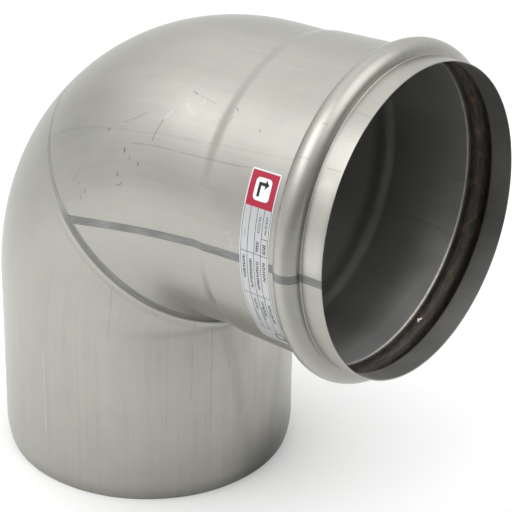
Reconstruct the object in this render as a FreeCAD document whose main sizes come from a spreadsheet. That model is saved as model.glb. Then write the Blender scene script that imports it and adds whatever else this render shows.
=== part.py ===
"""Flue elbow of 87 degrees in single-wall stainless steel, for a nominal bore of 180 mm.

Two formed tube halves meet on the mitre plane. The lower half ends in a plain spigot, the
upper half in a widened socket with a rolled groove for a seal and a short rim. A weld ring
joins the halves, and each half is closed along its length by a seam weld, planished flush.

The part stands on its spigot: the origin is the centre of the spigot's lower end, +Z runs up
the spigot's axis, and the socket points along +X, 3 degrees above the horizontal. Millimetres.
"""
import FreeCAD, Part
import math
import os
import Sketcher
from FreeCAD import Placement, Rotation, Vector

doc = FreeCAD.newDocument("flue_elbow")

# Driving dimensions. Radii are those of the outer skin, and a leg's stations are measured
# along its own axis from the point where the two axes cross.
DIMENSIONS = {
    "wall": 0.6,                    # sheet thickness
    "turn_angle": 87.0,             # the bend's whole turn
    "bend_radius": 91.6,            # centre line of the bend
    "bend_tube_radius": 88.9,       # tube on the bend
    "spigot_length": 202.7,         # crossing to the spigot's end
    "spigot_radius": 90.6,
    "nose_length": 13.6,            # drawn-in end of the spigot
    "nose_curve": 45.0,             # radius that the drawn-in end follows
    "socket_length": 200.0,         # crossing to the rim's edge
    "flare_start": 112.4,           # step from the tube up to the socket
    "flare_end": 118.4,
    "socket_root_radius": 90.4,     # socket at the flare, where it is narrowest
    "socket_mouth_radius": 92.2,    # socket beside the groove
    "groove_centre": 178.0,         # rolled groove for a seal, a bead on the outside
    "groove_crest_radius": 99.5,
    "groove_roll": 8.2,             # section radius of the bead's crest
    "groove_rear_foot": 2.0,        # section radii of the bead's two feet
    "groove_front_foot": 0.6,
    "rim_radius": 91.3,             # short rim in front of the groove
    "seam_width": 5.0,              # weld along each half
    "seam_bow": 880.0,              # radius of the bow that the seam makes, seen from the side
    "seam_apex": 180.0,             # where the bow stands in the middle of the leg's side
    "mitre_width": 2.8,             # weld ring between the halves
    "mitre_height": 0.12,           # how far the ring stands proud of both skins
    "label_start": 145.4,           # label's edge nearer the bend
    "label_width": 20.0,
    "label_top": 48.7,              # label's upper end, above the socket's axis
    "label_bottom": 56.0,           # label's lower end, below the socket's axis
    "label_gap": 0.05,              # adhesive
    "label_film": 0.1,
}

sheet = doc.addObject("Spreadsheet::Sheet", "Dimensions")
for row, (alias, number) in enumerate(DIMENSIONS.items(), start=1):
    sheet.set(f"A{row}", str(number))
    sheet.setAlias(f"A{row}", alias)
doc.recompute()

# Expressions that several pieces share.
HALF_TURN = "Dimensions.turn_angle / 2"
BEND_START = "Dimensions.bend_radius * tan(Dimensions.turn_angle / 2)"
BEND_CENTRE_Y = "-Dimensions.bend_radius"
SHOULDER = "Dimensions.spigot_length - Dimensions.nose_length"
CREST_Y = "Dimensions.groove_crest_radius - Dimensions.groove_roll"
REAR_FOOT_Y = "Dimensions.socket_mouth_radius + Dimensions.groove_rear_foot"
FRONT_FOOT_Y = "Dimensions.rim_radius + Dimensions.groove_front_foot"

# The outer and the inner skin of each kind of wall, as lifts from the sheet's outer skin.
SHEET_SKINS = ("0", "-Dimensions.wall")
WELD_SKINS = ("Dimensions.mitre_height", "-Dimensions.wall - Dimensions.mitre_height")
LABEL_SKINS = ("Dimensions.label_gap + Dimensions.label_film", "Dimensions.label_gap")

START, END, CENTRE = 1, 2, 3
ORIGIN = (-1, 1)


def value(expression):
    """Number that an expression gives with the sheet's present values."""
    return float(sheet.evalExpression(expression))


# Sketches -----------------------------------------------------------------------------------


def sketch_on(body, role, name):
    """Sketch on one of the body's own origin planes."""
    sketch = body.newObject("Sketcher::SketchObject", name)
    plane = next(item for item in body.Origin.OriginFeatures if item.Role == role)
    sketch.AttachmentSupport = [(plane, "")]
    sketch.MapMode = "FlatFace"
    return sketch


def bend_section(body, name, turned="0"):
    """Sketch across the tube, with its origin at the bend's centre and X along its axis.

    It lies where the leg's straight tube starts, or is turned back into the bend.
    """
    sketch = sketch_on(body, "YZ_Plane", name)
    sketch.AttachmentOffset = Placement(Vector(), Rotation(Vector(-1, 0, 0), 1))
    sketch.setExpression("AttachmentOffset.Base.y", BEND_CENTRE_Y)
    sketch.setExpression("AttachmentOffset.Base.z", BEND_START)
    sketch.setExpression("AttachmentOffset.Rotation.Angle", turned)
    return sketch


def line(sketch, start, end):
    return sketch.addGeometry(Part.LineSegment(Vector(*start, 0), Vector(*end, 0)), False)


def arc(sketch, centre, radius, first_angle, last_angle):
    """Arc whose angles are in radians, anticlockwise, and whose radius the sheet drives."""
    circle = Part.Circle(Vector(*centre, 0), Vector(0, 0, 1), value(radius))
    index = sketch.addGeometry(Part.ArcOfCircle(circle, first_angle, last_angle), False)
    dimension(sketch, "Radius", radius, index)
    return index


def relate(sketch, kind, *geometry):
    sketch.addConstraint(Sketcher.Constraint(kind, *geometry))


def dimension(sketch, kind, expression, *geometry):
    """Constraint whose number the sheet drives."""
    index = sketch.addConstraint(Sketcher.Constraint(kind, *geometry, value(expression)))
    sketch.setExpression(f"Constraints[{index}]", expression)


def fix_x(sketch, expression, *point):
    dimension(sketch, "DistanceX", expression, *ORIGIN, *point)


def fix_y(sketch, expression, *point):
    dimension(sketch, "DistanceY", expression, *ORIGIN, *point)


def join(sketch, first, second):
    relate(sketch, "Coincident", *first, *second)


def bridge(sketch, first, second):
    """Straight line from one end of the geometry to another."""
    start, end = sketch.getPoint(*first), sketch.getPoint(*second)
    edge = line(sketch, (start.x, start.y), (end.x, end.y))
    join(sketch, (edge, START), first)
    join(sketch, (edge, END), second)


def circle_on_bend(sketch, radius):
    """Circle round the tube's centre line, in a section of the bend."""
    centre = Vector(0, value("Dimensions.bend_radius"), 0)
    index = sketch.addGeometry(Part.Circle(centre, Vector(0, 0, 1), value(radius)), False)
    relate(sketch, "PointOnObject", index, CENTRE, -2)
    fix_y(sketch, "Dimensions.bend_radius", index, CENTRE)
    dimension(sketch, "Radius", radius, index)


# Features -----------------------------------------------------------------------------------


def leg_body(name, leg):
    """Body in a leg's frame: X out along the leg from the crossing, Z to the bend's outside."""
    body = doc.addObject("PartDesign::Body", name)
    if leg == "spigot":
        body.Placement = Placement(Vector(), Rotation(Vector(1, 0, -1), 180))
    else:
        body.Placement = Placement(Vector(), Rotation(Vector(0, -1, 0), 1))
        body.setExpression("Placement.Rotation.Angle", "90 - Dimensions.turn_angle")
    body.setExpression("Placement.Base.z", "Dimensions.spigot_length")
    return body


def revolve(body, sketch, name, angle="360"):
    """Turn a sketch about its X axis."""
    feature = body.newObject("PartDesign::Revolution", name)
    feature.Profile = sketch
    feature.ReferenceAxis = (sketch, ["H_Axis"])
    feature.setExpression("Angle", angle)
    return feature


def pad(body, sketch, name, length):
    feature = body.newObject("PartDesign::Pad", name)
    feature.Profile = sketch
    feature.setExpression("Length", length)
    return feature


def straight_wall(body, draw_skin, skins):
    """Tube of one leg, turned from the section between the two skins of its wall."""
    sketch = sketch_on(body, "XZ_Plane", body.Name + "_profile")
    outer, inner = (draw_skin(sketch, lift) for lift in skins)
    for outer_end, inner_end in zip(outer, inner):
        bridge(sketch, outer_end, inner_end)
    revolve(body, sketch, body.Name + "_straight")


def ring_section(body, name, radius, skins, turned="0"):
    """Ring of wall across the bend."""
    sketch = bend_section(body, name, turned)
    for lift in skins:
        circle_on_bend(sketch, f"{radius} + ({lift})")
    return sketch


def trim_at_mitre(body):
    """Cut the end back from the mitre plane by half of the weld ring's width."""
    sketch = bend_section(body, body.Name + "_mitre", HALF_TURN)
    circle_on_bend(sketch, "Dimensions.bend_radius + Dimensions.spigot_radius")
    pocket = body.newObject("PartDesign::Pocket", body.Name + "_trim")
    pocket.Profile = sketch
    pocket.Reversed = True
    pocket.setExpression("Length", "Dimensions.mitre_width / 2")


# The walls of the two halves ----------------------------------------------------------------


def socket_skin(sketch, lift):
    """One skin of the socket: tube, flare, socket, rolled groove and rim. Returns its ends.

    The groove's feet touch its roll, which settles how far along the socket they stand.
    """
    tube_y = value(f"Dimensions.bend_tube_radius + ({lift})")
    root_y = value(f"Dimensions.socket_root_radius + ({lift})")
    mouth_y = value(f"Dimensions.socket_mouth_radius + ({lift})")
    rim_y = value(f"Dimensions.rim_radius + ({lift})")
    flare_start = value("Dimensions.flare_start")
    flare_end = value("Dimensions.flare_end")
    crest_x, crest_y = value("Dimensions.groove_centre"), value(CREST_Y)
    rear_y, front_y = value(REAR_FOOT_Y), value(FRONT_FOOT_Y)
    rear_reach = value("Dimensions.groove_roll + Dimensions.groove_rear_foot")
    front_reach = value("Dimensions.groove_roll + Dimensions.groove_front_foot")
    rear_angle = math.asin((rear_y - crest_y) / rear_reach)
    front_angle = math.asin((front_y - crest_y) / front_reach)
    rear_x = crest_x - rear_reach * math.cos(rear_angle)
    front_x = crest_x + front_reach * math.cos(front_angle)
    rear_radius = f"Dimensions.groove_rear_foot - ({lift})"
    front_radius = f"Dimensions.groove_front_foot - ({lift})"
    roll_radius = f"Dimensions.groove_roll + ({lift})"
    quarter, half = math.pi / 2, math.pi

    tube = line(sketch, (value(BEND_START), tube_y), (flare_start, tube_y))
    flare = line(sketch, (flare_start, tube_y), (flare_end, root_y))
    socket = line(sketch, (flare_end, root_y), (rear_x, mouth_y))
    rear_foot = arc(sketch, (rear_x, rear_y), rear_radius, -quarter, -rear_angle)
    roll = arc(sketch, (crest_x, crest_y), roll_radius, front_angle, half - rear_angle)
    front_foot = arc(sketch, (front_x, front_y), front_radius, half + front_angle, half + quarter)
    rim = line(sketch, (front_x, rim_y), (value("Dimensions.socket_length"), rim_y))

    fix_x(sketch, BEND_START, tube, START)
    fix_y(sketch, f"Dimensions.bend_tube_radius + ({lift})", tube, START)
    relate(sketch, "Horizontal", tube)
    join(sketch, (tube, END), (flare, START))
    fix_x(sketch, "Dimensions.flare_start", flare, START)
    join(sketch, (flare, END), (socket, START))
    fix_x(sketch, "Dimensions.flare_end", socket, START)
    fix_y(sketch, f"Dimensions.socket_root_radius + ({lift})", socket, START)
    join(sketch, (socket, END), (rear_foot, START))
    relate(sketch, "Vertical", rear_foot, CENTRE, rear_foot, START)
    fix_y(sketch, REAR_FOOT_Y, rear_foot, CENTRE)
    relate(sketch, "Tangent", rear_foot, END, roll, END)
    fix_x(sketch, "Dimensions.groove_centre", roll, CENTRE)
    fix_y(sketch, CREST_Y, roll, CENTRE)
    relate(sketch, "Tangent", roll, START, front_foot, START)
    fix_y(sketch, FRONT_FOOT_Y, front_foot, CENTRE)
    relate(sketch, "Vertical", front_foot, CENTRE, front_foot, END)
    join(sketch, (front_foot, END), (rim, START))
    relate(sketch, "Horizontal", rim)
    fix_x(sketch, "Dimensions.socket_length", rim, END)
    return (tube, START), (rim, END)


def spigot_skin(sketch, lift):
    """One skin of the spigot, which curves inwards at its end. Returns its ends."""
    tube_y = value(f"Dimensions.spigot_radius + ({lift})")
    shoulder = value(SHOULDER)
    curve = f"Dimensions.nose_curve + ({lift})"
    centre = (shoulder, value("Dimensions.spigot_radius - Dimensions.nose_curve"))
    sweep = math.asin(value("Dimensions.nose_length") / value(curve))
    quarter = math.pi / 2

    tube = line(sketch, (value(BEND_START), tube_y), (shoulder, tube_y))
    nose = arc(sketch, centre, curve, quarter - sweep, quarter)
    fix_x(sketch, BEND_START, tube, START)
    fix_y(sketch, f"Dimensions.spigot_radius + ({lift})", tube, START)
    relate(sketch, "Horizontal", tube)
    fix_x(sketch, SHOULDER, tube, END)
    relate(sketch, "Tangent", tube, END, nose, END)
    fix_x(sketch, "Dimensions.spigot_length", nose, START)
    return (tube, START), (nose, START)


def socket_wall(name, skins):
    """Upper half's wall: a bend of one size, then the socket."""
    body = leg_body(name, "socket")
    straight_wall(body, socket_skin, skins)
    ring = ring_section(body, name + "_ring", "Dimensions.bend_tube_radius", skins)
    bend = revolve(body, ring, name + "_bend", HALF_TURN)
    bend.Reversed = True
    trim_at_mitre(body)
    return body


def spigot_wall(name, skins):
    """Lower half's wall: the spigot, then a bend that narrows to the upper half's size."""
    body = leg_body(name, "spigot")
    straight_wall(body, spigot_skin, skins)
    wide = ring_section(body, name + "_wide", "Dimensions.spigot_radius", skins)
    narrow = ring_section(body, name + "_narrow", "Dimensions.bend_tube_radius", skins, HALF_TURN)

    spine = sketch_on(body, "XZ_Plane", name + "_spine")
    centre = (value(BEND_START), value(BEND_CENTRE_Y))
    first, turn = math.pi / 2, math.radians(value(HALF_TURN))
    centre_line = arc(spine, centre, "Dimensions.bend_radius", first, first + turn)
    fix_x(spine, BEND_START, centre_line, CENTRE)
    fix_y(spine, BEND_CENTRE_Y, centre_line, CENTRE)
    relate(spine, "Vertical", centre_line, CENTRE, centre_line, START)
    angle = spine.addConstraint(Sketcher.Constraint("Angle", centre_line, turn))
    spine.setExpression(f"Constraints[{angle}]", HALF_TURN)

    bend = body.newObject("PartDesign::AdditivePipe", name + "_bend")
    bend.Profile = wide
    bend.Spine = (spine, ["Edge1"])
    bend.Transformation = "Multisection"
    bend.Sections = [(narrow, [""])]
    trim_at_mitre(body)
    return body


# The pieces ---------------------------------------------------------------------------------


def seam_band(name, leg):
    """Band along one side of a leg that marks its seam.

    It is in the middle of the side near the leg's end, and bows inward towards the bend.
    """
    body = leg_body(name, leg)
    sketch = sketch_on(body, "XZ_Plane", name + "_course")
    past_end = f"Dimensions.{leg}_length + Dimensions.seam_width"
    centre = (value("Dimensions.seam_apex"), value("-Dimensions.seam_bow"))
    first = math.acos(value(f"({past_end} - Dimensions.seam_apex) / Dimensions.seam_bow"))
    last = math.pi - math.acos(value("Dimensions.seam_apex / Dimensions.seam_bow"))
    bows = []
    for side in ("Dimensions.seam_width / 2", "-Dimensions.seam_width / 2"):
        radius = f"Dimensions.seam_bow + ({side})"
        bow = arc(sketch, centre, radius, first, last)
        fix_x(sketch, "Dimensions.seam_apex", bow, CENTRE)
        fix_y(sketch, "-Dimensions.seam_bow", bow, CENTRE)
        fix_x(sketch, past_end, bow, START)
        relate(sketch, "PointOnObject", bow, END, -2)
        bows.append(bow)
    bridge(sketch, (bows[0], START), (bows[1], START))
    bridge(sketch, (bows[0], END), (bows[1], END))
    pad(body, sketch, name + "_pad", "Dimensions.groove_crest_radius + Dimensions.wall")
    return body


def label_patch():
    """Block on the socket's side, as large as the label."""
    body = leg_body("label_patch", "socket")
    sketch = sketch_on(body, "XZ_Plane", "label_outline")
    left, right = "Dimensions.label_start", "Dimensions.label_start + Dimensions.label_width"
    top, bottom = "Dimensions.label_top", "-Dimensions.label_bottom"
    corners = [(left, top), (left, bottom), (right, bottom), (right, top)]
    places = [(value(x), value(y)) for x, y in corners]
    sides = [line(sketch, places[index - 1], places[index]) for index in range(len(corners))]
    for index, (x, y) in enumerate(corners):
        join(sketch, (sides[index - 1], START), (sides[index - 2], END))
        fix_x(sketch, x, sides[index], END)
        fix_y(sketch, y, sides[index], END)
    pad(body, sketch, "label_block", "Dimensions.groove_crest_radius")
    return body


def overlap(name, label, wall, shape):
    piece = doc.addObject("Part::Common", name)
    piece.Base = wall
    piece.Tool = shape
    piece.Label = label
    return piece


def remainder(name, label, wall, shape):
    piece = doc.addObject("Part::Cut", name)
    piece.Base = wall
    piece.Tool = shape
    piece.Label = label
    return piece


def mitre_weld():
    """Weld ring on the mitre plane, as thick as the sheet and a little proud of both skins."""
    body = leg_body("mitre_ring", "socket")
    ring = ring_section(body, "mitre_section", "Dimensions.bend_tube_radius", WELD_SKINS, HALF_TURN)
    pad(body, ring, "mitre_pad", "Dimensions.mitre_width").SideType = "Symmetric"
    body.Label = "mitre_weld"
    return body


upper_wall = socket_wall("upper_wall", SHEET_SKINS)
lower_wall = spigot_wall("lower_wall", SHEET_SKINS)
upper_band = seam_band("upper_band", "socket")
lower_band = seam_band("lower_band", "spigot")
pieces = [
    remainder("upper_half", "socket_half", upper_wall, upper_band),
    remainder("lower_half", "spigot_half", lower_wall, lower_band),
    overlap("upper_seam", "socket_seam_weld", upper_wall, upper_band),
    overlap("lower_seam", "spigot_seam_weld", lower_wall, lower_band),
    mitre_weld(),
    overlap("label", "rating_label", socket_wall("label_skin", LABEL_SKINS), label_patch()),
]
doc.recompute()

for item in doc.Objects:
    if "Invalid" in item.State or "Error" in item.State:
        raise RuntimeError(f"{item.Name} failed: {item.State}")
for piece in pieces:
    if piece.Shape.isNull() or not piece.Shape.isValid():
        raise RuntimeError(f"{piece.Label} has no valid shape")

os.makedirs("parts", exist_ok=True)
for piece in pieces:
    piece.Shape.exportStep(f"parts/{piece.Label}.step")
    print(piece.Label, len(piece.Shape.Solids), "solid(s)", round(piece.Shape.Volume, 1), "mm3")
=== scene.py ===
import math

import bpy
import numpy as np
from mathutils import Matrix, Vector


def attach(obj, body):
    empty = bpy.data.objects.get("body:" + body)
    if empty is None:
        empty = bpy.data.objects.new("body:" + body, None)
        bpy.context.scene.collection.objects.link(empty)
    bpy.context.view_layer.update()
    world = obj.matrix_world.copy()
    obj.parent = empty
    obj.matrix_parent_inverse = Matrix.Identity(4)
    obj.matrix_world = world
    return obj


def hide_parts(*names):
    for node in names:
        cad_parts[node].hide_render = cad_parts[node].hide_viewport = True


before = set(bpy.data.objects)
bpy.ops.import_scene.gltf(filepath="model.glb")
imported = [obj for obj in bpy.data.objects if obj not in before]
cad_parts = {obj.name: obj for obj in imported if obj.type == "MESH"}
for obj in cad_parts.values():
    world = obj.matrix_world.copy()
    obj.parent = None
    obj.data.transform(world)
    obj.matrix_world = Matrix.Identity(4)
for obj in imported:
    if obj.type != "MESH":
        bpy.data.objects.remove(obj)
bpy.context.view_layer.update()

# Dimensions, in metres, with the CAD's names. Radii are those of the outer skin, and a leg's
# stations are measured along its axis from the point where the two axes cross.
MM = 0.001
WALL = 0.6 * MM
TURN = math.radians(87.0)
BEND_RADIUS = 91.6 * MM
BEND_TUBE_RADIUS = 88.9 * MM
SPIGOT_LENGTH = 202.7 * MM
SPIGOT_RADIUS = 90.6 * MM
NOSE_LENGTH = 13.6 * MM
NOSE_CURVE = 45.0 * MM
SOCKET_LENGTH = 200.0 * MM
FLARE_START = 112.4 * MM
FLARE_END = 118.4 * MM
ROOT_RADIUS = 90.4 * MM
MOUTH_RADIUS = 92.2 * MM
GROOVE_CENTRE = 178.0 * MM
CREST_RADIUS = 99.5 * MM
GROOVE_ROLL = 8.2 * MM
GROOVE_REAR_FOOT = 2.0 * MM
GROOVE_FRONT_FOOT = 0.6 * MM
RIM_RADIUS = 91.3 * MM
SEAM_WIDTH = 5.0 * MM
SEAM_BOW = 880.0 * MM
SEAM_APEX = 180.0 * MM
MITRE_WIDTH = 2.8 * MM
LABEL_START = 145.4 * MM
LABEL_WIDTH = 20.0 * MM
LABEL_TOP = 48.7 * MM
LABEL_BOTTOM = 56.0 * MM
LABEL_GAP = 0.05 * MM
LABEL_FILM = 0.1 * MM

HALF_TURN = TURN / 2
BEND_START = BEND_RADIUS * math.tan(HALF_TURN)
BEND_CENTRE = np.array([BEND_RADIUS, 0.0, SPIGOT_LENGTH - BEND_START])
CROSSING = np.array([0.0, 0.0, SPIGOT_LENGTH])
BEND_RUN = BEND_RADIUS * HALF_TURN
SPIGOT_RUN = SPIGOT_LENGTH - BEND_START
MITRE_RUN = SPIGOT_RUN + BEND_RUN                   # the mitre plane, on the tube's path
STATION_ZERO = MITRE_RUN + BEND_RUN - BEND_START    # the socket's station 0, on the tube's path
CREST_Y = CREST_RADIUS - GROOVE_ROLL                # centre of the groove's roll, off the axis

# How the meshes are built.
EDGE = 0.14 * MM                                    # rounding of a sheet's cut edge
CUT_EDGE = ((0.35, 0.10), (0.0, 0.55), (0.0, 1.0))  # (before the end, drawn in), as shares of EDGE
SHARP_ANGLE = math.radians(40)                      # edges sharper than this aren't smoothed
SHELL_COLUMNS = 300                                 # columns of a wall's grid, round the tube
BEND_ROWS = 44                                      # rows of a wall's grid, along half the bend
SEAM_COLUMNS = 14
SEAM_WAVE = 1.7 * MM                                # length of the seam's solidification waves
SEAM_SEARCH = 40                                    # halvings that find a seam's edge
MITRE_COLUMNS, MITRE_ROWS = 720, 17
LABEL_ROWS, LABEL_CORNER_ROWS, LABEL_COLUMN_COUNT = 22, 6, 110
LABEL_CORNER = 1.2 * MM
RIPPLE_SEED, RIPPLE_WAVES = 11, 14

scene = bpy.context.scene


# Shapes -------------------------------------------------------------------------------------
# A wall is a grid of rows along the tube's path and columns round it. Each row holds:
# part    how far it stands into the bend, from 0 at the straight leg to 1 at the weld ring
# reach   how far it stands along the straight leg, from the bend's end
# radius  radius of the outer skin
# along, out   direction that leaves the skin, in the tube's lengthwise section
# run     distance along the path from the spigot's end, which the materials use
# trim    how far both skins draw in, to round the sheet's cut edge
FIELDS = ("part", "reach", "radius", "along", "out", "run", "trim")


class Rows:
    def __init__(self, leg):
        self.leg = leg
        self.sign = 1 if leg == "socket" else -1
        self.rows = []

    def add(self, part, reach, radius, along=0.0, out=1.0, trim=0.0):
        run = MITRE_RUN + self.sign * ((1 - part) * BEND_RUN + reach)
        self.rows.append((part, reach, radius, along, out, run, trim))

    def column(self, field):
        index = FIELDS.index(field)
        return np.array([row[index] for row in self.rows])[:, None]

    def turn(self, around):
        """Angle round the bend of each row, at each place round the tube."""
        from_axis = BEND_RADIUS + self.column("radius") * np.cos(around)
        gap = np.arcsin(MITRE_WIDTH / 2 / np.maximum(from_axis, MITRE_WIDTH))
        turned = self.column("part") * (HALF_TURN - gap)
        return TURN - turned if self.leg == "socket" else turned

    def points(self, around, lift):
        """Points at that lift above the outer skin."""
        turn = self.turn(around)
        radius = self.column("radius")
        if self.leg == "spigot":
            radius = radius + (BEND_TUBE_RADIUS - SPIGOT_RADIUS) * turn / HALF_TURN
        lift = lift + ripple(self.column("run"), around)
        reach = self.sign * (self.column("reach") + lift * self.column("along"))
        return on_path(turn, reach, radius + lift * self.column("out"), around)

    def seam(self, side):
        """Angle round the tube at which each row meets an edge of the seam's band."""
        along, out = on_axes(TURN if self.leg == "socket" else 0.0)
        margin = 0.3                    # radians left out at the bend's outside and inside
        low = np.full((len(self.rows), 1), -self.sign * margin)
        high = np.full((len(self.rows), 1), -self.sign * (math.pi - margin))
        for _ in range(SEAM_SEARCH):
            middle = (low + high) / 2
            offset = self.points(middle, 0.0) - CROSSING
            station, height = self.sign * (offset @ along), offset @ out
            edge = np.sqrt((SEAM_BOW + side) ** 2 - (SEAM_APEX - station) ** 2) - SEAM_BOW
            above = height > edge
            low, high = np.where(above, middle, low), np.where(above, high, middle)
        return (low + high) / 2


def on_axes(turn):
    """Directions along the path and towards the bend's outside."""
    along = np.stack([np.sin(turn), np.zeros_like(turn), np.cos(turn)], -1)
    out = np.stack([-np.cos(turn), np.zeros_like(turn), np.sin(turn)], -1)
    return along, out


def on_path(turn, reach, radius, around):
    """Points of the tube, where around is measured from the bend's outside towards +Y."""
    along, out = on_axes(turn)
    side = np.array([0.0, 1.0, 0.0])
    return (BEND_CENTRE + BEND_RADIUS * out + np.asarray(reach)[..., None] * along
            + (radius * np.cos(around))[..., None] * out
            + (radius * np.sin(around))[..., None] * side)


def ripple(run, around):
    """Slight waves of the rolled sheet, the same for every piece that lies in it."""
    rng = np.random.default_rng(RIPPLE_SEED)
    total = 0.0
    for _ in range(RIPPLE_WAVES):
        turns = int(rng.integers(2, 12))
        length = rng.uniform(0.05, 0.16)
        height = rng.uniform(0.008, 0.022) * MM
        phase = rng.uniform(0, math.tau)
        total = total + height * np.sin(turns * around + math.tau * run / length + phase)
    return total


def groove_foot(skin_radius, foot_radius):
    """Centre's height and angle of a foot of the groove, and its distance from the middle."""
    height, reach = skin_radius + foot_radius, GROOVE_ROLL + foot_radius
    angle = math.asin((height - CREST_Y) / reach)
    return height, angle, reach * math.cos(angle)


def add_bend(rows, radius):
    for part in np.linspace(1, 0, BEND_ROWS)[:-1]:
        rows.add(part, 0.0, radius)


def add_cut_end(rows, reach, radius):
    """Rows of a sheet's rounded cut edge."""
    for before, drawn in CUT_EDGE:
        rows.add(0, reach - before * EDGE, radius, trim=drawn * EDGE)


def socket_rows():
    """Rows of the upper half: bend, flare, socket, rolled groove and rim."""
    rows = Rows("socket")

    def straight(x0, y0, x1, y1, count):
        slope = math.atan2(y1 - y0, x1 - x0)
        for share in np.linspace(0, 1, count):
            rows.add(0, x0 + (x1 - x0) * share - BEND_START, y0 + (y1 - y0) * share,
                     -math.sin(slope), math.cos(slope))

    def arc(x, y, radius, first, last, count, side=1):
        """side is -1 where the arc's centre lies outside the tube."""
        for angle in np.linspace(first, last, count):
            rows.add(0, x + radius * math.cos(angle) - BEND_START, y + radius * math.sin(angle),
                     side * math.cos(angle), side * math.sin(angle))

    add_bend(rows, BEND_TUBE_RADIUS)
    soft = 1.5 * MM                     # how far the flare's corners are rounded
    straight(BEND_START, BEND_TUBE_RADIUS, FLARE_START - soft, BEND_TUBE_RADIUS, count=12)
    length = FLARE_END - FLARE_START + 2 * soft
    rise = ROOT_RADIUS - BEND_TUBE_RADIUS
    for share in np.linspace(0, 1, 16)[1:-1]:
        tilt = math.atan(6 * share * (1 - share) * rise / length)
        rows.add(0, FLARE_START - soft + length * share - BEND_START,
                 BEND_TUBE_RADIUS + rise * share * share * (3 - 2 * share),
                 -math.sin(tilt), math.cos(tilt))

    rear_y, rear_angle, rear_off = groove_foot(MOUTH_RADIUS, GROOVE_REAR_FOOT)
    front_y, front_angle, front_off = groove_foot(RIM_RADIUS, GROOVE_FRONT_FOOT)
    rear_x, front_x = GROOVE_CENTRE - rear_off, GROOVE_CENTRE + front_off
    quarter, half = math.pi / 2, math.pi
    skip, gap = 0.1, 0.03               # radians left out by a foot's arc, and by the roll's
    space = skip * MM                   # left out by a straight where it meets a foot
    straight(FLARE_END + soft, ROOT_RADIUS, rear_x - space, MOUTH_RADIUS, count=24)
    arc(rear_x, rear_y, GROOVE_REAR_FOOT, -quarter + skip, -rear_angle, count=9, side=-1)
    arc(GROOVE_CENTRE, CREST_Y, GROOVE_ROLL, half - rear_angle - gap, front_angle + gap, count=34)
    arc(front_x, front_y, GROOVE_FRONT_FOOT, half + front_angle, half + quarter - skip,
        count=9, side=-1)
    straight(front_x + space, RIM_RADIUS, SOCKET_LENGTH - 2 * EDGE, RIM_RADIUS, count=9)
    add_cut_end(rows, SOCKET_LENGTH - BEND_START, RIM_RADIUS)
    return rows


def spigot_rows():
    """Rows of the lower half: bend, spigot and its drawn-in end."""
    rows = Rows("spigot")
    add_bend(rows, SPIGOT_RADIUS)
    shoulder = SPIGOT_LENGTH - NOSE_LENGTH
    for station in np.linspace(BEND_START, shoulder, 36)[:-1]:
        rows.add(0, station - BEND_START, SPIGOT_RADIUS)
    last = math.asin(NOSE_LENGTH / NOSE_CURVE)
    for angle in np.linspace(0, last * 0.985, 12):      # stops short of the cut edge's rows
        rows.add(0, shoulder + NOSE_CURVE * math.sin(angle) - BEND_START,
                 SPIGOT_RADIUS - NOSE_CURVE * (1 - math.cos(angle)),
                 math.sin(angle), math.cos(angle))
    end_radius = SPIGOT_RADIUS - NOSE_CURVE * (1 - math.cos(last))
    add_cut_end(rows, SPIGOT_LENGTH - BEND_START, end_radius)
    return rows


def sheet_solid(outer, inner, closed):
    """Closed solid between two grids of the same size, and each face's material slot.

    Slot 0 is the outer skin and the edges, slot 1 the inner skin.
    """
    rows, columns = outer.shape[:2]
    span = rows * columns
    faces, kinds = [], []
    last = columns if closed else columns - 1
    for r in range(rows - 1):
        for c in range(last):
            a, b = r * columns + c, r * columns + (c + 1) % columns
            e, f = b + columns, a + columns
            faces.append((a, b, e, f))
            kinds.append(0)
            faces.append((span + f, span + e, span + b, span + a))
            kinds.append(1)
    for c in range(last):
        d = (c + 1) % columns
        faces.append((d, c, span + c, span + d))
        kinds.append(0)
        base = (rows - 1) * columns
        faces.append((base + c, base + d, span + base + d, span + base + c))
        kinds.append(0)
    if not closed:
        for r in range(rows - 1):
            a, b = r * columns, (r + 1) * columns
            faces.append((a, b, span + b, span + a))
            kinds.append(0)
            a, b = a + columns - 1, b + columns - 1
            faces.append((b, a, span + a, span + b))
            kinds.append(0)
    points = np.concatenate([outer.reshape(-1, 3), inner.reshape(-1, 3)])
    return points, faces, kinds


def outward(points, faces):
    """Turn the faces round if the solid is inside out."""
    corners = points[np.array(faces)]
    first = np.einsum("ij,ij->i", corners[:, 0], np.cross(corners[:, 1], corners[:, 2]))
    second = np.einsum("ij,ij->i", corners[:, 0], np.cross(corners[:, 2], corners[:, 3]))
    return faces if (first + second).sum() > 0 else [face[::-1] for face in faces]


def make_piece(name, outer, inner, place, materials, node, closed=False):
    """Solid between two grids of points, which rides on the body and stands for a CAD node.

    place is the pair of coordinates that the materials read, in metres.
    """
    points, faces, kinds = sheet_solid(outer, inner, closed)
    mesh = bpy.data.meshes.new(name)
    mesh.from_pydata([tuple(p) for p in points], [], outward(points, faces))
    grid = np.stack(np.broadcast_arrays(*place), -1).reshape(-1, 2)
    uvs = np.concatenate([grid, grid])
    layer = mesh.uv_layers.new(name="developed")
    loops = np.zeros(len(mesh.loops), dtype=np.int32)
    mesh.loops.foreach_get("vertex_index", loops)
    layer.data.foreach_set("uv", uvs[loops].astype(np.float32).ravel())
    for material in materials:
        mesh.materials.append(material)
    mesh.polygons.foreach_set("material_index", np.asarray(kinds, dtype=np.int32))
    mesh.polygons.foreach_set("use_smooth", np.ones(len(mesh.polygons), dtype=bool))
    mesh.set_sharp_from_angle(angle=SHARP_ANGLE)
    mesh.update()
    if mesh.validate():
        raise RuntimeError(f"{name} has faulty faces")
    piece = bpy.data.objects.new(name, mesh)
    scene.collection.objects.link(piece)
    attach(piece, "root")
    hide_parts(node)


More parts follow.
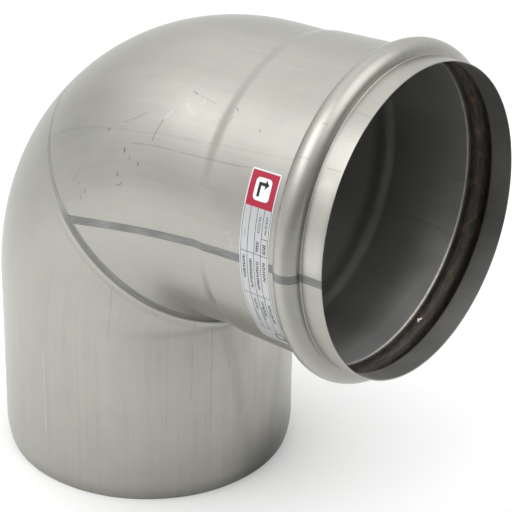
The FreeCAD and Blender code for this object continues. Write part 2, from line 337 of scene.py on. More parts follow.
def developed(around, run):
    """The metal's coordinates: metres round the tube and along its path."""
    return around * BEND_TUBE_RADIUS, run


def add_shell(name, rows, node, materials):
    """Wall of one half, open along the seam that its weld fills."""
    upper, lower = rows.seam(SEAM_WIDTH / 2), rows.seam(-SEAM_WIDTH / 2)
    first, last = (upper, lower) if rows.leg == "socket" else (lower, upper)
    share = np.linspace(0, 1, SHELL_COLUMNS + 1)[None, :]
    around = first + (last + math.tau - first) * share
    trim = rows.column("trim")
    outer, inner = rows.points(around, -trim), rows.points(around, trim - WALL)
    make_piece(name, outer, inner, developed(around, rows.column("run")), materials, node)


def add_seam(name, rows, node, materials):
    """Planished weld that fills the seam, with a faint crown and its solidification waves."""
    upper, lower = rows.seam(SEAM_WIDTH / 2), rows.seam(-SEAM_WIDTH / 2)
    share = np.linspace(0, 1, SEAM_COLUMNS + 1)[None, :]
    around = upper + (lower - upper) * share
    across = 2 * share - 1
    run, trim = rows.column("run"), rows.column("trim")
    wave = np.sin(math.tau * (run / SEAM_WAVE + 0.5 * across ** 2))
    crown = (1 - across ** 8) * (0.035 + 0.012 * wave) * MM
    hollow = 0.02 * MM * np.exp(-((np.abs(across) - 0.86) / 0.1) ** 2)  # just inside each edge
    lift = crown - hollow
    outer, inner = rows.points(around, lift - trim), rows.points(around, trim - WALL - lift)
    make_piece(name, outer, inner, developed(around, run), materials, node)


def add_mitre(name, node, materials):
    """Weld ring between the halves: a low ground bead with fine waves."""
    around = np.linspace(0, math.tau, MITRE_COLUMNS, endpoint=False)[None, :]
    across = np.linspace(-1, 1, MITRE_ROWS)[:, None]
    crown = 0.05 * MM * (1 - across ** 8)
    crown = crown * (1 + 0.10 * np.sin(around * 210 + 3 * across))
    from_axis = BEND_RADIUS + BEND_TUBE_RADIUS * np.cos(around)
    turn = HALF_TURN + np.arcsin(across * MITRE_WIDTH / 2 / from_axis)
    run = MITRE_RUN + across * MITRE_WIDTH / 2
    wave = ripple(run, around)
    outer = on_path(turn, 0.0, BEND_TUBE_RADIUS + crown + wave, around)
    inner = on_path(turn, 0.0, BEND_TUBE_RADIUS - WALL - crown + wave, around)
    make_piece(name, outer, inner, developed(around, run), materials, node, closed=True)


def add_label(name, node, materials):
    """Film that follows the socket's cone, with rounded corners."""
    corner = LABEL_CORNER
    rounding = corner * (1 - np.cos(np.linspace(0, math.pi / 2, LABEL_CORNER_ROWS)))
    flat = np.linspace(corner, LABEL_WIDTH - corner, LABEL_ROWS)
    offsets = np.unique(np.concatenate([rounding, flat, LABEL_WIDTH - rounding]).round(9))
    rear = GROOVE_CENTRE - groove_foot(MOUTH_RADIUS, GROOVE_REAR_FOOT)[2]
    slope = (MOUTH_RADIUS - ROOT_RADIUS) / (rear - FLARE_END)
    rows = Rows("socket")
    for offset in offsets:
        station = LABEL_START + offset
        rows.add(0, station - BEND_START, ROOT_RADIUS + slope * (station - FLARE_END), -slope)
    middle = ROOT_RADIUS + slope * (LABEL_START + LABEL_WIDTH / 2 - FLARE_END)
    top, bottom = -math.acos(LABEL_TOP / middle), -math.acos(-LABEL_BOTTOM / middle)
    inset = np.minimum(offsets, LABEL_WIDTH - offsets)[:, None]
    short = np.maximum(corner - inset, 0.0)
    cut = (corner - np.sqrt(np.maximum(corner ** 2 - short ** 2, 0.0))) / middle
    share = np.linspace(0, 1, LABEL_COLUMN_COUNT)[None, :]
    around = (top - cut) + ((bottom + cut) - (top - cut)) * share
    outer, inner = rows.points(around, LABEL_GAP + LABEL_FILM), rows.points(around, LABEL_GAP)
    place = (offsets[:, None], (top - around) * middle)
    make_piece(name, outer, inner, place, materials, node)


# Materials ----------------------------------------------------------------------------------


class Graph:
    """The nodes of a material or of the world, written as calls."""

    def __init__(self, owner, shader):
        self.owner = owner
        owner.use_nodes = True
        self.tree = owner.node_tree
        self.shader = self.tree.nodes[shader]

    def node(self, kind, *values, **settings):
        node = self.tree.nodes.new(kind)
        for key, setting in settings.items():
            setattr(node, key, setting)
        for socket, value in zip(node.inputs, values):
            self.feed(socket, value)
        return node

    def feed(self, socket, value):
        if value is None:
            return
        if isinstance(value, bpy.types.NodeSocket):
            self.tree.links.new(value, socket)
        else:
            socket.default_value = value

    def math(self, operation, *values, clamp=False):
        return self.node("ShaderNodeMath", *values, operation=operation, use_clamp=clamp).outputs[0]

    def add(self, a, b):
        return self.math("ADD", a, b)

    def times(self, a, b):
        return self.math("MULTIPLY", a, b)

    def total(self, *values):
        result = values[0]
        for value in values[1:]:
            result = self.add(result, value)
        return result

    def either(self, *masks):
        result = masks[0]
        for mask in masks[1:]:
            result = self.math("MAXIMUM", result, mask)
        return result

    def step(self, value, low, high, start=0.0, end=1.0):
        """Smooth step from start to end as the value goes from low to high."""
        node = self.node("ShaderNodeMapRange", value, low, high, start, end,
                         interpolation_type="SMOOTHSTEP")
        return node.outputs[0]

    def vector(self, x, y, z=0.0):
        return self.node("ShaderNodeCombineXYZ", x, y, z).outputs[0]

    def noise(self, u, v, per_metre, detail, roughness, layer=0.0):
        """Noise with its own scale along each coordinate; layer picks another slice of it."""
        place = self.vector(self.times(u, per_metre[0]), self.times(v, per_metre[1]), layer)
        node = self.node("ShaderNodeTexNoise")
        self.feed(node.inputs["Vector"], place)
        self.feed(node.inputs["Scale"], 1.0)
        self.feed(node.inputs["Detail"], detail)
        self.feed(node.inputs["Roughness"], roughness)
        return node.outputs[0]

    def mix(self, factor, first, second, blend="MIX"):
        node = self.node("ShaderNodeMix", data_type="RGBA", blend_type=blend)
        self.feed(node.inputs[0], factor)
        self.feed(node.inputs[6], first)
        self.feed(node.inputs[7], second)
        return node.outputs[2]

    def shade(self, colour, tone, warmth=None):
        """Colour times tone, with the tone's blue times warmth if that is given."""
        blue = tone if warmth is None else self.times(tone, warmth)
        return self.mix(1.0, colour, self.vector(tone, tone, blue), "MULTIPLY")

    def line(self, round_, along, start, end, width):
        """Mask of a straight mark between two points, given as the tables of marks give them."""
        first = Vector((math.radians(start[0]) * BEND_TUBE_RADIUS, start[1] * MM, 0))
        course = Vector((math.radians(end[0]) * BEND_TUBE_RADIUS, end[1] * MM, 0)) - first
        kind = "ShaderNodeVectorMath"
        offset = self.node(kind, self.vector(round_, along), first, operation="SUBTRACT").outputs[0]
        share = self.node(kind, offset, course / course.length_squared,
                          operation="DOT_PRODUCT").outputs["Value"]
        share = self.math("ADD", share, 0.0, clamp=True)
        foot = self.node(kind, course, None, None, share, operation="SCALE").outputs[0]
        gap = self.node(kind, offset, foot, operation="DISTANCE").outputs["Value"]
        return self.step(gap, 0.2 * width * MM, 0.6 * width * MM, 1.0, 0.0)

    def from_mitre(self, round_, along):
        """Distance from the mitre's middle, measured on the tube's skin and towards the socket."""
        cosine = self.math("COSINE", self.times(round_, 1 / BEND_TUBE_RADIUS))
        shrink = self.add(self.times(cosine, BEND_TUBE_RADIUS / BEND_RADIUS), 1.0)
        return self.times(self.add(along, -MITRE_RUN), shrink)

    def inner_side(self, round_):
        """1 on the bend's inner side, 0 on its outer side."""
        cosine = self.math("COSINE", self.times(round_, 1 / BEND_TUBE_RADIUS))
        return self.step(cosine, 0.1, 0.3, 1.0, 0.0)

    def box(self, u, v, left, right, top, bottom):
        """Mask of a rectangle, whose sides are in millimetres."""
        across = self.math("COMPARE", u, (left + right) / 2 * MM, (right - left) / 2 * MM)
        down = self.math("COMPARE", v, (top + bottom) / 2 * MM, (bottom - top) / 2 * MM)
        return self.times(across, down)

    def rounded(self, u, v, centre, half, corner):
        """Mask of a rectangle with rounded corners, in millimetres."""
        sides = []
        for place, middle, reach in ((u, centre[0], half[0]), (v, centre[1], half[1])):
            off = self.math("ABSOLUTE", self.add(place, -middle * MM))
            sides.append(self.math("MAXIMUM", self.add(off, (corner - reach) * MM), 0.0))
        away = self.node("ShaderNodeVectorMath", self.vector(*sides), operation="LENGTH")
        return self.math("LESS_THAN", away.outputs["Value"], corner * MM)

    def wedge(self, u, v, tip, length, half):
        """Mask of an arrow's head that points across the label, in millimetres."""
        back = self.math("SUBTRACT", tip[0] * MM, u)
        off = self.math("ABSOLUTE", self.add(v, -tip[1] * MM))
        inside = self.math("LESS_THAN", off, self.times(back, half / length))
        return self.times(inside, self.math("LESS_THAN", back, length * MM))

    def place(self):
        """Distances round the tube and along its path, in metres."""
        layer = self.node("ShaderNodeUVMap", uv_map="developed").outputs[0]
        parts = self.node("ShaderNodeSeparateXYZ", layer)
        return parts.outputs[0], parts.outputs[1]

    def bump(self, height, distance, strength):
        node = self.node("ShaderNodeBump")
        self.feed(node.inputs["Strength"], strength)
        self.feed(node.inputs["Distance"], distance)
        self.feed(node.inputs["Height"], height)
        return node.outputs[0]

    def finish(self, paint, roughness, normal):
        """Feed the shader, and give back the material."""
        self.feed(self.shader.inputs["Base Color"], paint)
        self.feed(self.shader.inputs["Roughness"], roughness)
        self.feed(self.shader.inputs["Normal"], normal)
        return self.owner


def new_material(name):
    return Graph(bpy.data.materials.new(name), "Principled BSDF")


def on_tube(first, last):
    """Two angles round the tube, in degrees, as distances round it: limits of a smooth step."""
    return [math.radians(angle) * BEND_TUBE_RADIUS for angle in (first, last)]


def steel(name, colour, roughness, marks=(), stain_and_shade=None):
    """Satin rolled sheet: axial grain, drawing streaks, smudges, hairline scratches and marks, with
    painted light and shade on a few marks, beside the mitre and towards the spigot's end.
    """
    g = new_material(name)
    round_, along = g.place()
    grain = g.noise(round_, along, (1700.0, 120.0), detail=3.0, roughness=0.6)
    streaks = g.noise(round_, along, (210.0, 7.0), detail=3.0, roughness=0.65)
    smudges = g.noise(round_, along, (22.0, 22.0), detail=4.0, roughness=0.55, layer=3.7)
    patches = g.noise(round_, along, (75.0, 75.0), detail=5.0, roughness=0.6, layer=9.1)
    hairs = g.noise(round_, along, (620.0, 16.0), detail=2.0, roughness=0.5, layer=5.2)
    lines = g.noise(round_, along, (1000.0, 7.0), detail=2.0, roughness=0.6, layer=8.3)
    worn = g.step(smudges, 0.42, 0.62)
    drawn = g.add(g.step(streaks, 0.3, 0.7, -0.030, 0.030), g.step(lines, 0.3, 0.7, -0.022, 0.018))
    calm = g.step(along, SPIGOT_RUN - 10 * MM, SPIGOT_RUN + 40 * MM, 1.0, 0.6)
    tone = g.total(1.0, g.step(grain, 0.25, 0.75, -0.022, 0.022),
                   g.times(drawn, calm),
                   g.step(smudges, 0.3, 0.7, -0.03, 0.03),
                   g.step(patches, 0.35, 0.7, 0.018, -0.018),
                   g.times(g.step(hairs, 0.68, 0.76, 0.0, -0.16), worn))
    for width, change, points in marks:
        runs = [g.line(round_, along, *ends, width) for ends in zip(points, points[1:])]
        strength = g.step(patches, 0.3, 0.6, 0.6 * change, change)
        tone = g.add(tone, g.times(g.either(*runs), strength))
    tone = g.add(tone, mitre_edges(g, round_, along))
    tone = g.times(tone, g.step(along, 1 * MM, 12 * MM, 0.82, 1.0))     # painted shade: darker at the very end, for the darker floor the drawn-in nose reflects
    # painted shade towards the spigot's foot, for the shadowed floor that it reflects
    tone = g.times(tone, g.math("SUBTRACT", 1.0, painted_foot_shade(g, round_, along)))
    paint = g.shade((*colour, 1.0), tone, g.step(patches, 0.3, 0.7, 0.985, 1.015))
    gloss = g.total(g.step(smudges, 0.3, 0.7, roughness - 0.025, roughness + 0.03),
                    g.step(grain, 0.2, 0.8, -0.02, 0.02),
                    g.step(streaks, 0.3, 0.7, -0.012, 0.012))
    # paints the inner skin's oxide, with its painted light and shade
    if stain_and_shade:
        paint, gloss = stain_and_shade(g, round_, along, paint, gloss)
    height = g.total(grain, g.times(streaks, 0.5), g.times(hairs, -0.4))
    g.shader.inputs["Metallic"].default_value = 1.0
    return g.finish(paint, gloss, g.bump(height, 0.01 * MM, 0.05))


def mitre_edges(g, round_, along):
    """Change of tone beside the mitre weld, on the bend's inner side.

    The sheet is ground dark next to the bead; below it lie a painted highlight line and a painted
    shade line where a faint ridge runs.
    """
    off = g.from_mitre(round_, along)
    ground = g.step(g.math("ABSOLUTE", off), 1.6 * MM, 1.9 * MM, -0.42, 0.0)
    # painted highlight: a bright line on the spigot's side of the weld
    bright = g.step(g.math("ABSOLUTE", g.add(off, 2.5 * MM)), 0.3 * MM, 0.9 * MM, 0.12, 0.0)
    # painted shade of the faint ridge below the weld
    ridge = g.step(g.math("ABSOLUTE", g.add(off, 6.2 * MM)), 0.4 * MM, 1.8 * MM, -0.08, 0.0)
    return g.times(g.inner_side(round_), g.total(ground, bright, ridge))


def painted_foot_shade(g, round_, along):
    """Share by which painted shade darkens the spigot, towards its end and the bend's inside: it
    stands in for the shadowed floor that the leg's foot reflects.
    """
    broad = g.times(g.step(round_, *on_tube(280, 200), 0.0, 0.30),
                    g.step(along, -25 * MM, 85 * MM, 1.0, 0.0))
    close = g.times(g.step(round_, *on_tube(208, 170), 0.0, 0.55),
                    g.step(along, -2 * MM, 48 * MM, 1.0, 0.0))
    return g.times(g.add(broad, close), g.step(round_, *on_tube(110, 172)))


def groove_stain_and_shade(g, round_, along, paint, gloss):
    """Dark brown oxide left inside the groove, whose dark colour also stands in for its shade, and
    painted light and shade on the interior: darker along the barrel, lighter to the mouth and on
    the lower side.
    """
    off = g.add(along, -STATION_ZERO - GROOVE_CENTRE)       # distance from the groove's middle
    inside = g.times(g.step(off, -9.4 * MM, -8.4 * MM), g.step(off, 8.2 * MM, 9.2 * MM, 1.0, 0.0))
    # painted highlight: lighter towards the groove's rear edge, on the lower side
    lip = g.times(g.step(off, -40 * MM, -9.5 * MM), g.step(round_, *on_tube(95, 150), 0.2, 1.3))
    # painted light and shade: darker along the barrel, lighter towards the mouth and on the lower
    # side
    depth = g.total(g.step(off, -70 * MM, -32 * MM, 0.56, 0.80),
                    g.step(off, -77 * MM, -69 * MM, 0.45, 0.0),
                    g.step(round_, *on_tube(115, 165), 0.0, 0.25), lip)
    # painted shade and light on the rim's inner band: darker on the upper side, lighter on the
    # lower side
    front = g.step(off, 8 * MM, 9 * MM)
    painted_light = g.add(g.times(depth, g.math("SUBTRACT", 1.0, front)),
                   g.times(front, g.step(round_, *on_tube(105, 150), 0.72, 1.25)))
    paint = g.shade(paint, painted_light)
    rolled = g.noise(round_, along, (90.0, 700.0), detail=4.0, roughness=0.6)
    rusty = g.noise(round_, along, (160.0, 260.0), detail=4.0, roughness=0.6, layer=2.2)
    # the oxide's dark colour also stands in for the shade inside the groove
    brown = g.mix(g.step(rolled, 0.35, 0.7), DARK_OXIDE_AND_SHADE, PALE_OXIDE_AND_SHADE)
    brown = g.mix(g.step(rusty, 0.54, 0.70, 0.0, 0.7), brown, RUST)
    # painted glint: a near-white fleck in the groove
    glint = g.either(*(g.line(round_, along, start, end, width) for width, start, end in GLINT))
    brown = g.mix(glint, brown, GLINT_WHITE)
    return g.mix(inside, paint, brown), g.add(gloss, g.times(inside, 0.12))


def weld(name, colour, roughness, mitre=False):
    """Planished weld metal, brushed along its length, with clouds of heat tint."""
    g = new_material(name)
    round_, along = g.place()
    across, length = (along, round_) if mitre else (round_, along)
    grain = g.noise(across, length, (2600.0, 160.0), detail=3.0, roughness=0.6)
    waves = g.noise(across, length, (900.0, 36.0), detail=3.0, roughness=0.6, layer=1.9)
    clouds = g.noise(across, length, (160.0, 50.0), detail=3.0, roughness=0.5, layer=6.1)
    tone = g.total(1.0, g.step(grain, 0.25, 0.75, -0.07, 0.07),
                   g.step(waves, 0.3, 0.7, -0.13, 0.10),
                   g.step(clouds, 0.3, 0.7, -0.08, 0.10),
                   g.step(clouds, 0.62, 0.72, 0.0, 0.22))
    if mitre:
        off = g.math("ABSOLUTE", g.add(along, -MITRE_RUN))
        edges = g.step(off, 0.30 * MITRE_WIDTH, 0.44 * MITRE_WIDTH)
        inner = g.inner_side(round_)
        outer_edges = g.times(edges, g.math("SUBTRACT", 1.0, inner))
        tone = g.times(tone, g.step(inner, 0.0, 1.0, 1.25, 0.70))
        tone = g.times(tone, g.step(outer_edges, 0.0, 1.0, 1.0, 0.5))
    gloss = g.total(roughness, g.step(grain, 0.2, 0.8, -0.05, 0.05),
                    g.step(waves, 0.3, 0.7, -0.03, 0.03))
    g.shader.inputs["Metallic"].default_value = 1.0
    paint = g.shade((*colour, 1.0), tone, 1.01)
    return g.finish(paint, gloss, g.bump(g.add(grain, waves), 0.01 * MM, 0.35))


def printed_film():
    """Label: silvered film with a red panel, a bent arrow, ruled lines and unreadable type.

    u runs across the label from its edge nearer the bend, v down from its upper end.
    """
    g = new_material("printed_film")
    u, v = g.place()
    fibres = g.noise(u, v, (900.0, 900.0), detail=3.0, roughness=0.6)
    creases = g.noise(u, v, (60.0, 60.0), detail=3.0, roughness=0.5, layer=4.4)
    tone = g.total(1.0, g.step(fibres, 0.3, 0.7, -0.025, 0.025),
                   g.step(creases, 0.3, 0.7, -0.03, 0.02))
    middle, half = (LABEL_ACROSS / 2, LABEL_LONG / 2), (9.3, LABEL_LONG / 2 - 0.7)
    paint = g.mix(g.rounded(u, v, middle, half, 0.6), LABEL_BORDER, SILVER)
    panel = g.box(u, v, *LABEL_PANEL)
    paint = g.mix(panel, paint, RED)

    plate = g.rounded(u, v, (10.0, 10.4), (5.4, 6.3), 2.4)
    paint = g.mix(plate, paint, PLATE_WHITE)
    arrow = g.either(g.box(u, v, 6.8, 8.6, 6.6, 14.6), g.box(u, v, 6.8, 11.4, 6.6, 8.4),
                     g.wedge(u, v, (13.8, 7.5), 2.6, 2.7))
    paint = g.mix(arrow, paint, INK)

    top, bottom, right = LABEL_PANEL[3], LABEL_LINES[-1][1], LABEL_COLUMNS[-1]
    rules = [g.box(u, v, across - RULE, across + RULE, top, bottom) for across in LABEL_COLUMNS]
    rules += [g.box(u, v, left, right, down - RULE, down + RULE) for left, down in LABEL_LINES]
    paint = g.mix(g.times(g.either(*rules), 0.85), paint, INK)

    letters = g.noise(u, v, (1500.0, 1250.0), detail=1.0, roughness=0.5, layer=7.0)
    gaps = g.math("PINGPONG", v, 0.65 * MM)
    print_ = g.times(g.step(letters, 0.43, 0.50), g.step(gaps, 0.08 * MM, 0.18 * MM))
    for column, height, start, end, strength in LABEL_TYPE:
        row = g.box(u, v, column - height / 2, column + height / 2, start, end)
        paint = g.mix(g.times(g.times(row, print_), strength), paint, INK)
    frame_outer = g.rounded(u, v, LABEL_FRAME, (3.2, 2.9), 0.8)
    frame_inner = g.rounded(u, v, LABEL_FRAME, (2.3, 2.0), 0.5)
    paint = g.mix(g.times(frame_outer, g.math("SUBTRACT", 1.0, frame_inner)), paint, INK)

    g.shader.inputs["Specular IOR Level"].default_value = 0.25
    g.feed(g.shader.inputs["Metallic"], g.step(panel, 0.0, 1.0, 0.78, 0.1))
    height = g.add(creases, g.times(fibres, 0.1))
    return g.finish(g.shade(paint, tone), g.step(creases, 0.3, 0.7, 0.34, 0.44),
                    g.bump(height, 0.04 * MM, 0.3))


# Each mark is (width in mm, change of tone, points), with its points as degrees round the tube
# and millimetres along its path. The spigot's shell starts on the far side, so its angles run
# on past 360.
SOCKET_MARKS = (
    (0.6, -0.30, ((-61.4, 235), (-61.0, 258), (-60.3, 279), (-59.3, 304), (-57.9, 320))),
    (1.5, -0.07, ((-48.4, 189), (-55.8, 222), (-57.2, 239), (-54.4, 285), (-51.9, 342))),
    (0.6, -0.35, ((-59.6, 245.4), (-56.1, 246.2), (-51.2, 247.8))),
    (0.9, 0.16, ((-51.2, 247.8), (-47.7, 250.2))),
    (0.6, -0.30, ((-53.7, 229.4), (-51.9, 235.8), (-49.5, 239.8))),
    (0.9, -0.45, ((-38.6, 255), (-39.0, 257.4))),
    (0.7, -0.16, ((-39.0, 257.4), (-39.7, 263.4), (-40.6, 272))),
    (1.0, 0.13, ((-43.5, 254.2), (-44.4, 256.0), (-45.8, 258.0), (-46.7, 262.9))),
    (1.0, 0.13, ((-39.6, 263.4), (-41.4, 264.9), (-42.0, 262.0))),
    (0.9, -0.40, ((-40.4, 287.4), (-41.1, 288.9))),
    (0.8, -0.30, ((-43.9, 287.4), (-45.3, 287.4))),
    (1.0, -0.30, ((-45.3, 307.9), (-46.0, 308.9))),
    (0.9, -0.55, ((-55.4, 222.6), (-56.2, 221.6))),
    (1.0, -0.60, ((-63.4, 232.0), (-64.6, 231.8))),
    (0.8, -0.30, ((-66.2, 235.2), (-67.2, 235.0))),
    (0.9, -0.50, ((-68.0, 240.0), (-69.0, 239.8))),
    (0.9, -0.55, ((-71.8, 228.0), (-73.2, 227.6))),
    (0.8, -0.38, ((-76.2, 226.8), (-76.6, 228.4), (-75.6, 230.2))),
    (0.9, -0.25, ((-72.2, 201.6), (-72.9, 201.2))),
    (0.9, -0.28, ((-76.0, 205.0), (-76.6, 203.6))),
    (1.6, -0.18, ((-77.4, 200.4), (-78.0, 199.6))),
    (0.7, -0.20, ((-68.6, 203.0), (-70.4, 198.6))),
    (1.0, 0.10, ((-95.5, 190.0), (-93.5, 230.0), (-92.5, 262.0))),
    (0.8, -0.08, ((-103.0, 186.0), (-100.5, 215.0), (-99.5, 245.0))),
    (0.8, 0.08, ((-108.0, 185.0), (-104.5, 212.0), (-103.0, 236.0))),
    (0.8, 0.16, ((-84.5, 304.4), (-85.2, 307.9), (-87.3, 305.9), (-86.6, 310.9))),
    (0.8, 0.14, ((-83.1, 303.4), (-81.3, 306.4))),
    (0.7, -0.30, ((-39.0, 348.0), (-38.6, 350.6))),
    (0.6, -0.25, ((-51.2, 342.0), (-50.9, 350.0))),
    (0.6, -0.35, ((-51.2, 357.6), (-51.2, 366.9))),
    (0.6, -0.20, ((-29.5, 357.6), (-29.9, 366.9))),
    # painted highlight: a broad light band on the rim beside the groove's front foot
    (14.0, 0.30, ((-58.0, 361.5), (-84.0, 361.5))),
    # painted highlight along a dent in the groove's front foot
    (1.1, 0.80, ((-92.2, 357.4), (-98.0, 356.8), (-105.5, 357.2), (-113.5, 356.9))),
)
SPIGOT_MARKS = (
    (0.6, -0.20, ((248.6, 180), (244.4, 149), (243.7, 113))),
    (0.6, -0.35, ((228.3, 173), (227.8, 166))),
    (0.8, -0.55, ((219.3, 168), (219.2, 165.5))),
    (0.8, -0.55, ((215.9, 168), (215.8, 165.5))),
    (0.8, -0.55, ((214.4, 166), (214.3, 163.5))),
    (0.8, -0.50, ((212.4, 163), (212.3, 160.5))),
    (0.6, -0.20, ((204.1, 158), (204.6, 95), (205.2, 46))),
    (0.6, -0.17, ((211.6, 158), (212.7, 84), (212.9, 70))),
    (0.6, -0.18, ((194.7, 130), (194.8, 84), (195.0, 60))),
    (0.6, -0.15, ((183.8, 110), (183.8, 55))),
    (0.6, -0.13, ((221.3, 150), (222.0, 86), (222.7, 51))),
    (1.6, 0.16, ((273.2, 92), (273.1, 58), (273.1, 36))),
    (0.6, -0.13, ((190.5, 120), (190.7, 50))),
)
INSIDE_MARKS = (
    (0.6, -0.25, ((120.0, 300), (121.0, 330))),
)
GLINT = (        # painted glint: a bright fleck in the groove, as (width in mm, start, end)
    (0.9, (154.9, 339.9), (155.7, 339.4)),
    (0.9, (155.9, 339.0), (156.6, 339.5)),
)

# The label's layout, in millimetres across it and down it.
LABEL_ACROSS, LABEL_LONG = 20.0, 111.6
LABEL_PANEL = (0.8, 19.2, 0.9, 20.3)                    # left, right, top and bottom
LABEL_COLUMNS = (0.7, 5.3, 10.0, 14.6, 19.3)            # rules down the label
LABEL_LINES = ((14.6, 36.3), (0.7, 45.9), (0.7, 72.1), (0.7, 99.6))     # (left end, down)
LABEL_FRAME = (15.4, 104.6)                             # middle of the small frame
RULE = 0.19                                             # half of a rule's width
LABEL_TYPE = (      # rows of type: (column's middle, height, start, end, strength)
    (17.0, 1.4, 23.5, 33.5, 0.75), (12.3, 1.8, 24.0, 34.0, 0.6), (3.0, 1.2, 33.5, 37.5, 0.4),
    (16.9, 2.2, 39.0, 44.6, 1.0), (12.2, 2.0, 38.5, 44.8, 1.0), (17.0, 1.9, 49.5, 61.5, 1.0),
    (12.3, 1.8, 50.0, 67.5, 1.0), (7.7, 1.8, 49.5, 67.5, 1.0), (3.0, 1.7, 48.5, 62.5, 1.0),
    (17.0, 2.0, 76.5, 91.5, 1.0), (12.4, 1.9, 76.0, 87.5, 1.0), (10.6, 1.2, 80.5, 91.0, 0.7),
    (7.6, 1.9, 75.0, 83.5, 0.8), (5.8, 1.5, 84.0, 93.0, 0.6), (6.0, 1.2, 96.0, 98.5, 0.4),
)

STEEL = (0.385, 0.379, 0.346)
# The inner skin is given a paler steel than the outer one to brighten the interior: painted light.
INSIDE = (0.50, 0.495, 0.475)
# Oxide in the groove; its dark colour is partly painted shade of the recess.
DARK_OXIDE_AND_SHADE, PALE_OXIDE_AND_SHADE = (0.060, 0.056, 0.051, 1), (0.105, 0.094, 0.083, 1)
RUST, GLINT_WHITE = (0.20, 0.115, 0.062, 1), (0.95, 0.95, 0.95, 1)
SILVER, LABEL_BORDER = (0.51, 0.52, 0.53, 1), (0.70, 0.71, 0.73, 1)
PLATE_WHITE, RED, INK = (0.78, 0.80, 0.83, 1), (0.38, 0.024, 0.052, 1), (0.02, 0.02, 0.022, 1)

socket_steel = steel("socket_steel", STEEL, 0.33, SOCKET_MARKS)
spigot_steel = steel("spigot_steel", STEEL, 0.33, SPIGOT_MARKS)
socket_inside = steel("socket_inside", INSIDE, 0.46, INSIDE_MARKS, groove_stain_and_shade)
spigot_inside = steel("spigot_inside", INSIDE, 0.50)
seam_steel = weld("seam_steel", (0.205, 0.204, 0.198), 0.38)
mitre_steel = weld("mitre_steel", (0.285, 0.283, 0.272), 0.38, mitre=True)
film = printed_film()

upper_rows, lower_rows = socket_rows(), spigot_rows()
add_shell("socket_shell", upper_rows, "socket_half", [socket_steel, socket_inside])
add_shell("spigot_shell", lower_rows, "spigot_half", [spigot_steel, spigot_inside])
add_seam("socket_seam_strip", upper_rows, "socket_seam_weld", [seam_steel, seam_steel])
add_seam("spigot_seam_strip", lower_rows, "spigot_seam_weld", [seam_steel, seam_steel])
add_mitre("mitre_bead", "mitre_weld", [mitre_steel, mitre_steel])
add_label("rating_film", "rating_label", [film, film])


# Studio -------------------------------------------------------------------------------------
# The world's strength: HORIZON_FAR and HORIZON_NEAR away from and towards FRONT_RIGHT, OVERHEAD
# straight up, and lobes of (azimuth, elevation and spread in degrees, strength).
FRONT_RIGHT = (0.966, -0.259, 0.0)
HORIZON_FAR, HORIZON_NEAR, OVERHEAD = 0.84, 0.32, 1.16
LOBES = (
    (-142, 34, 34, 0.42),
    (-104, 55, 34, 1.60),
    (26, 56, 38, 1.28),
    (120, 8, 60, 0.15),
    (168, 52, 42, 0.32),
)
FLOOR_HALF = 4.0


def place_camera():
    """Camera at the fitted viewing angle, with no shift."""
    yaw, pitch, roll = math.radians(38.1174), math.radians(28.9689), math.radians(1.0356)
    ahead = -Vector((math.sin(yaw) * math.cos(pitch), -math.cos(yaw) * math.cos(pitch),
                     math.sin(pitch)))
    level = ahead.cross(Vector((0, 0, 1))).normalized()
    upright = level.cross(ahead)
    right = level * math.cos(roll) + upright * math.sin(roll)
    up = -level * math.sin(roll) + upright * math.cos(roll)
    data = bpy.data.cameras.new("camera")
    data.lens = 159.70
    data.sensor_width = 36.0
    camera = bpy.data.objects.new("camera", data)
    place = Matrix((right, up, -ahead)).transposed().to_4x4()
    place.translation = Vector((0.81003, -0.92467, 0.59877 + SPIGOT_LENGTH))
    camera.matrix_world = place
    scene.collection.objects.link(camera)
    scene.camera = camera


def add_softbox(name, direction, distance, width, height, power):
    """Area light in that direction from the object's middle, turned towards it."""
    data = bpy.data.lights.new(name, "AREA")
    data.shape = "RECTANGLE"
    data.size, data.size_y = width, height
    data.energy = power
    light = bpy.data.objects.new(name, data)
    target = Vector((0.05, 0.0, 0.17))
    direction = Vector(direction).normalized()
    light.location = target + direction * distance
    light.rotation_euler = (-direction).to_track_quat("-Z", "Y").to_euler()
    scene.collection.objects.link(light)


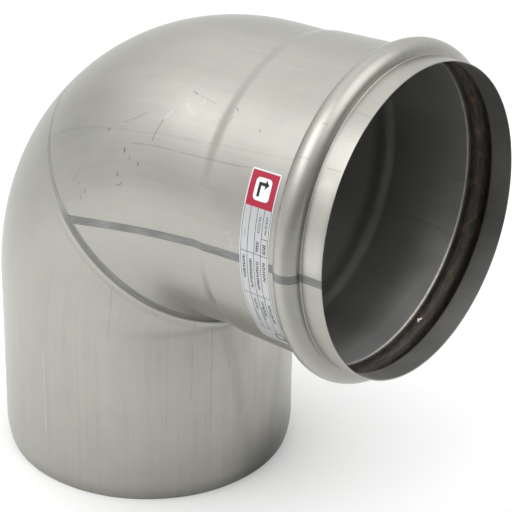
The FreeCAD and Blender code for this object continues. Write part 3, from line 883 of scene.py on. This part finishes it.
def light_world():
    """Pale studio: bright overhead, darker towards the horizon at the front right."""
    world = bpy.data.worlds.new("studio")
    scene.world = world
    g = Graph(world, "Background")
    where = g.node("ShaderNodeTexCoord").outputs["Generated"]

    def towards(direction):
        return g.node("ShaderNodeVectorMath", where, Vector(direction).normalized(),
                      operation="DOT_PRODUCT").outputs["Value"]

    horizon = g.step(towards(FRONT_RIGHT), -0.05, 0.92, HORIZON_FAR, HORIZON_NEAR)
    height = g.step(towards((0, 0, 1)), 0.15, 0.9)
    total = g.add(horizon, g.times(g.math("SUBTRACT", OVERHEAD, horizon), height))
    for azimuth, elevation, spread, strength in LOBES:
        azimuth, elevation = math.radians(azimuth), math.radians(elevation)
        centre = (math.cos(azimuth) * math.cos(elevation), math.sin(azimuth) * math.cos(elevation),
                  math.sin(elevation))
        rim = math.cos(math.radians(spread))
        total = g.add(total, g.step(towards(centre), rim, 1.0, 0.0, strength))
    g.feed(g.shader.inputs["Strength"], total)
    g.shader.inputs["Color"].default_value = (1.0, 1.0, 1.0, 1.0)


def floor_paper():
    """Pale light-table top, with painted shade: its colour is darker where it runs out towards +X
    and, a little, towards -X.
    """
    g = new_material("floor_paper")
    place = g.node("ShaderNodeNewGeometry").outputs["Position"]
    reach = g.node("ShaderNodeVectorMath", place, Vector((0.95, -0.3, 0)),
                   operation="DOT_PRODUCT").outputs["Value"]
    # painted shade on the floor, which the steel reflects
    tone = g.times(g.step(reach, 0.14, 0.34, 1.0, 0.62), g.step(reach, -0.55, -0.22, 0.80, 1.0))
    g.feed(g.shader.inputs["Base Color"], g.shade((0.815, 0.815, 0.815, 1), tone))
    g.feed(g.shader.inputs["Emission Strength"], g.times(tone, 0.06))
    g.shader.inputs["Emission Color"].default_value = (1.0, 1.0, 1.0, 1.0)
    g.shader.inputs["Roughness"].default_value = 0.9
    g.shader.inputs["Specular IOR Level"].default_value = 0.1
    return g.owner


def add_floor():
    mesh = bpy.data.meshes.new("floor")
    corners = [(x * FLOOR_HALF, y * FLOOR_HALF, 0) for x, y in ((-1, -1), (1, -1), (1, 1), (-1, 1))]
    mesh.from_pydata(corners, [], [(0, 1, 2, 3)])
    floor = bpy.data.objects.new("floor", mesh)
    scene.collection.objects.link(floor)
    mesh.materials.append(floor_paper())


place_camera()
light_world()
add_softbox("key", (-0.30, -0.57, 0.77), distance=1.4, width=0.7, height=0.7, power=1.0)
add_floor()
scene.view_settings.view_transform = "Standard"
